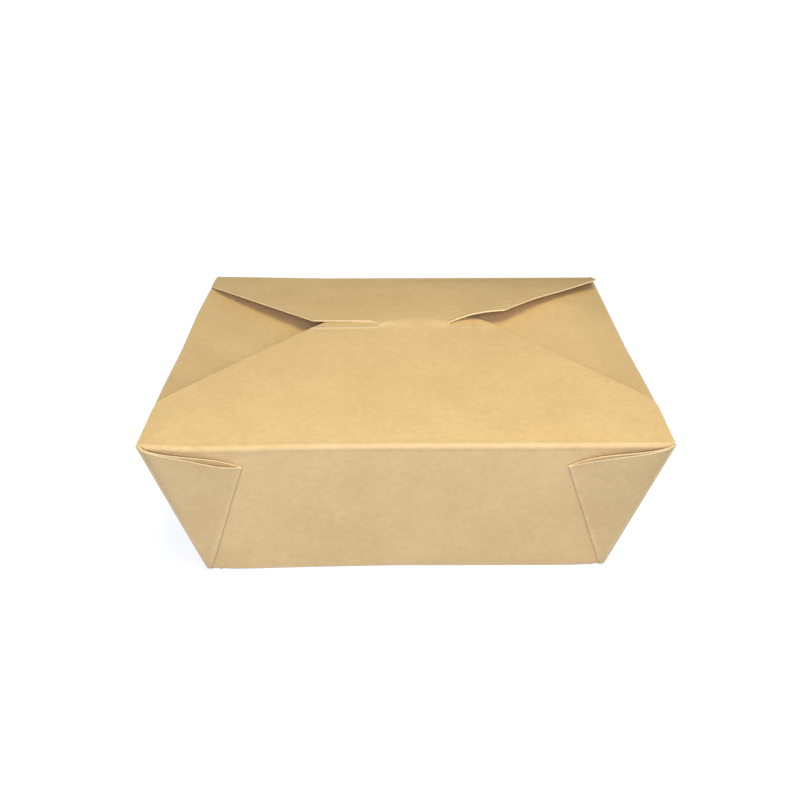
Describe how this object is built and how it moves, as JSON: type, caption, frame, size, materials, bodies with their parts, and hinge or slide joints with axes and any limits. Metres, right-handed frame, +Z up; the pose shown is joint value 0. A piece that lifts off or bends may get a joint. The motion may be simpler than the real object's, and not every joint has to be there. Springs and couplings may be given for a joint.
{
  "type": "paper meal box",
  "caption": "Closed take-away meal box folded from one sheet of kraft board, with flared walls, webbed corners and a tongue-and-slit lid.",
  "frame": {"origin": "middle of the underside, where the box rests", "axes": "+X to the right along the front, +Y from the front wall to the back wall, +Z up"},
  "size_m": [0.1716, 0.1496, 0.0686],
  "materials": {
    "kraft_board": "matte"
  },
  "bodies": {
    "root": {"meal_box": "kraft_board"}
  },
  "joints": []
}
